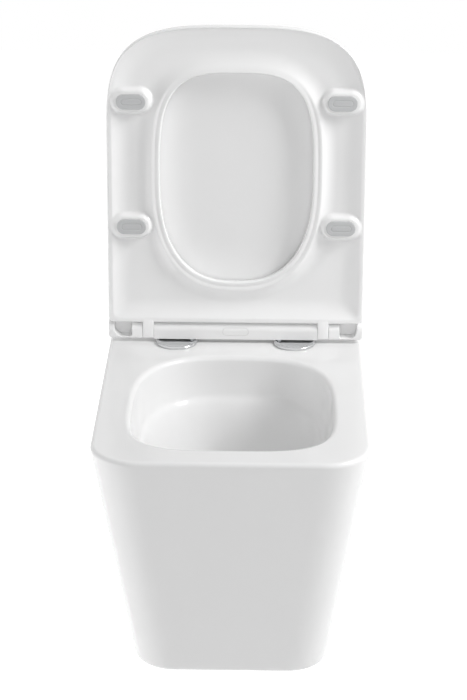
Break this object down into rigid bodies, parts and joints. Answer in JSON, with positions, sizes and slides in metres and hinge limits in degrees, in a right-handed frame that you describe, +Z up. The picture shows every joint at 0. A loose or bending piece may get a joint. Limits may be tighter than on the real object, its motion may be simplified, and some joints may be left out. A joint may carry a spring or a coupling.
{
  "type": "wall hung toilet",
  "caption": "Wall hung toilet pan with tapered sides, open bowl and trap, quick release hinge bar, and a soft closing seat and lid shown raised.",
  "frame": {"origin": "midway between the two wall stud holes, on the wall plane", "axes": "+Y into the wall, +Z up, +X to the right when facing the toilet"},
  "size_m": [0.345, 0.4979, 0.7803],
  "materials": {
    "vitreous_china": "glossy white glaze",
    "cap_white": "moulded",
    "nylon_grey": "moulded nylon",
    "seat_duroplast": "pressed, glossy",
    "lid_duroplast": "pressed, glossy",
    "bar_white": "moulded",
    "button_white": "moulded",
    "buffer_grey": "moulded soft grey",
    "gasket_black": "die cut",
    "dowel_rubber": "moulded",
    "chrome_cover": "polished chrome plate",
    "steel_turned": "turned and plated",
    "brass_nut": "machined",
    "damper_black": "moulded",
    "shaft_steel": "ground",
    "bush_acetal": "moulded acetal",
    "zinc_steel": "zinc plated"
  },
  "bodies": {
    "pan_and_hinge_bar": {"bar_screw_left": "zinc_steel", "bar_screw_right": "zinc_steel", "base_plate_left": "steel_turned", "base_plate_right": "steel_turned", "bracket_screw_left": "zinc_steel", "bracket_screw_right": "zinc_steel", "bracket_washer_left": "zinc_steel", "bracket_washer_right": "zinc_steel", "button_spring": "zinc_steel", "cover_disc_left": "chrome_cover", "cover_disc_right": "chrome_cover", "damper_left": "damper_black", "damper_right": "damper_black", "disc_gasket_left": "gasket_black", "disc_gasket_right": "gasket_black", "disc_screw_left": "zinc_steel", "disc_screw_right": "zinc_steel", "dowel_nut_left": "brass_nut", "dowel_nut_right": "brass_nut", "expansion_dowel_left": "dowel_rubber", "expansion_dowel_right": "dowel_rubber", "hinge_bar_base": "bar_white", "hinge_bar_housing": "bar_white", "hinge_post_left": "steel_turned", "hinge_post_right": "steel_turned", "pan": "vitreous_china", "pan_bowl": "vitreous_china", "pan_flush_duct": "vitreous_china", "pan_trap_bend": "vitreous_china", "pan_trap_leg": "vitreous_china", "pan_trap_weir": "vitreous_china", "pan_waste_spigot": "vitreous_china", "side_cap_left": "cap_white", "side_cap_right": "cap_white", "wall_bracket_left": "nylon_grey", "wall_bracket_right": "nylon_grey"},
    "seat": {"ear_bush": "bush_acetal", "seat_buffer_front_left": "buffer_grey", "seat_buffer_front_right": "buffer_grey", "seat_buffer_rear_left": "buffer_grey", "seat_buffer_rear_right": "buffer_grey", "seat_ring": "seat_duroplast", "seat_shaft": "shaft_steel"},
    "lid": {"knuckle_bush": "bush_acetal", "lid_buffer_front_left": "buffer_grey", "lid_buffer_front_right": "buffer_grey", "lid_buffer_rear_left": "buffer_grey", "lid_buffer_rear_right": "buffer_grey", "lid_panel": "lid_duroplast", "lid_shaft": "shaft_steel"},
    "button": {"release_button": "button_white"},
    "latch_left": {"latch_left": "bush_acetal"},
    "latch_right": {"latch_right": "bush_acetal"}
  },
  "joints": [
    {"name": "seat_hinge", "type": "hinge", "parent": "pan_and_hinge_bar", "child": "seat", "pos_m": [0, -0.0675, 0.096], "axis": [1, 0, 0], "range_deg": [0, 91.5]},
    {"name": "lid_hinge", "type": "hinge", "parent": "seat", "child": "lid", "pos_m": [0, -0.0675, 0.096], "axis": [-1, 0, 0], "range_deg": [0, 91.5]},
    {"name": "button_press", "type": "slide", "parent": "pan_and_hinge_bar", "child": "button", "axis": [0, 1, 0], "range_m": [0, 0.003], "stiffness_N_per_m": 300, "springref_m": -0.002, "deforming": ["button_spring"]},
    {"name": "latch_left_slide", "type": "slide", "parent": "pan_and_hinge_bar", "child": "latch_left", "axis": [1, 0, 0], "range_m": [0, 0.003]},
    {"name": "latch_right_slide", "type": "slide", "parent": "pan_and_hinge_bar", "child": "latch_right", "axis": [-1, 0, 0], "range_m": [0, 0.003]}
  ],
  "couplings": [
    {"joint": "latch_left_slide", "follows": "button_press", "ratio": 1},
    {"joint": "latch_right_slide", "follows": "button_press", "ratio": 1}
  ]
}
